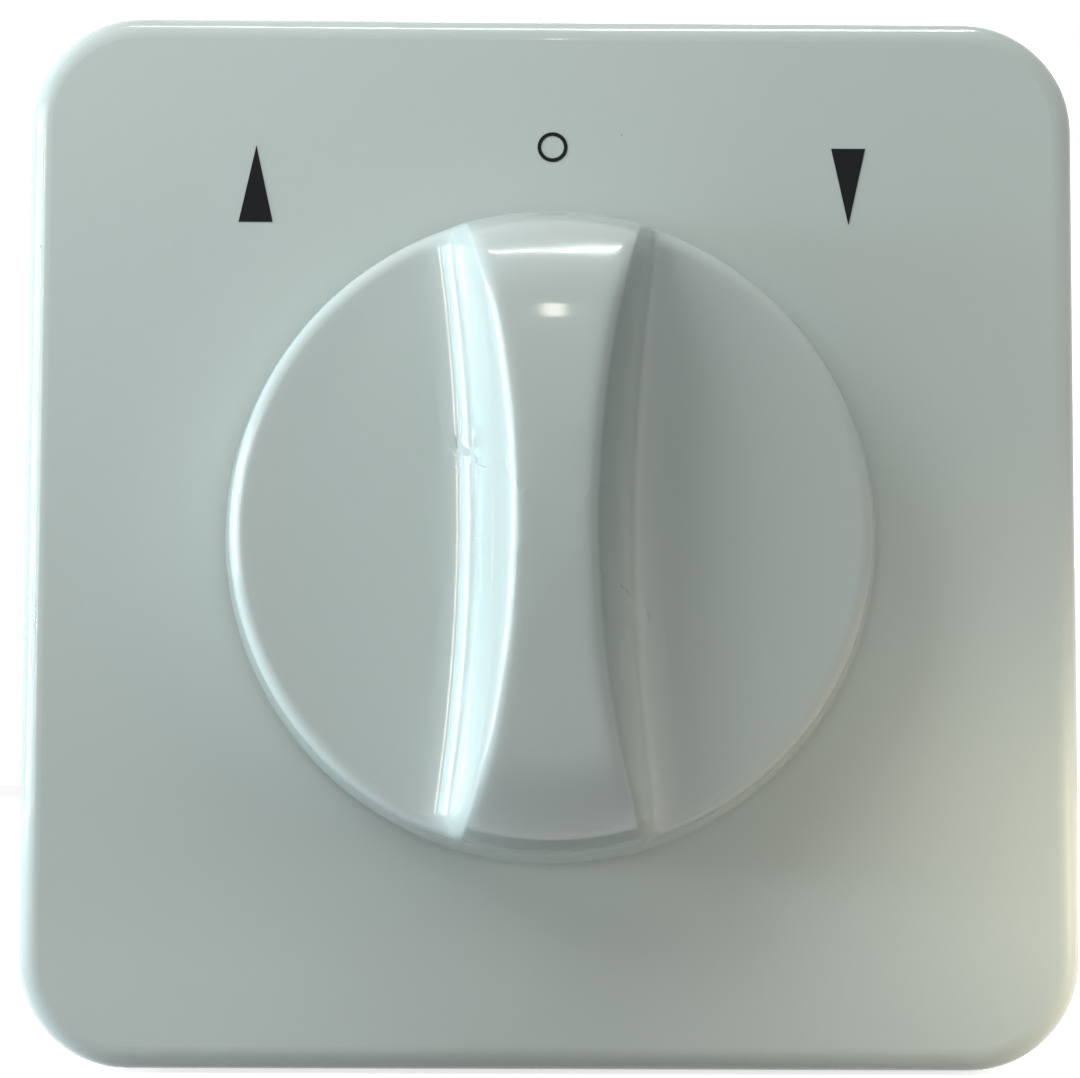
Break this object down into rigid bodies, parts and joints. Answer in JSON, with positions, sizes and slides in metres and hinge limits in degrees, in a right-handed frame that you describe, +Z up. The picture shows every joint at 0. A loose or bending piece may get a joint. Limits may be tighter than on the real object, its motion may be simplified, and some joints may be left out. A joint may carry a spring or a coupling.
{
  "type": "roller shutter switch",
  "caption": "Flush rotary switch for a roller shutter: square cover plate with up, off and down marks, and a round knob with a waisted grip ridge.",
  "frame": {"origin": "on the wall plane at the back face of the support ring, on the knob's axis, midway between the two wall box screws", "axes": "the front faces -Y, +Y goes into the wall box, +Z is up, +X is to the right seen from the front"},
  "size_m": [0.08, 0.0515, 0.08],
  "materials": {
    "white_plastic": "polished moulded thermoplastic",
    "black_print": "thin black print",
    "bridge_plastic": "dark grey moulded plastic",
    "base_plastic": "off-white thermoset",
    "wheel_plastic": "white bearing plastic",
    "drum_plastic": "black insulating plastic",
    "ring_steel": "zinc-plated sheet",
    "shaft_steel": "turned steel",
    "spring_steel": "rolled spring steel",
    "screw_steel": "zinc-plated",
    "contact_brass": "bright stamped brass"
  },
  "bodies": {
    "switch_body": {"cover_plate": "white_plastic", "up_mark": "black_print", "off_mark": "black_print", "down_mark": "black_print", "plate_screws": "screw_steel", "support_ring": "ring_steel", "ring_screws": "screw_steel", "bearing_bridge": "bridge_plastic", "switch_base": "base_plastic", "detent_spring": "spring_steel", "up_contact": "contact_brass", "down_contact": "contact_brass", "common_contact": "contact_brass", "up_terminal": "contact_brass", "down_terminal": "contact_brass", "common_terminal": "contact_brass", "terminal_screws": "screw_steel"},
    "knob_set": {"knob": "white_plastic", "knob_clip": "spring_steel", "spindle": "shaft_steel", "retaining_clip": "spring_steel", "detent_wheel": "wheel_plastic", "contact_drum": "drum_plastic", "moving_contact": "contact_brass"}
  },
  "joints": [
    {"name": "knob_turn", "type": "hinge", "parent": "switch_body", "child": "knob_set", "pos_m": [0, 0, 0], "axis": [0, -1, 0], "range_deg": [-40, 40], "deforming": ["detent_spring"]}
  ]
}
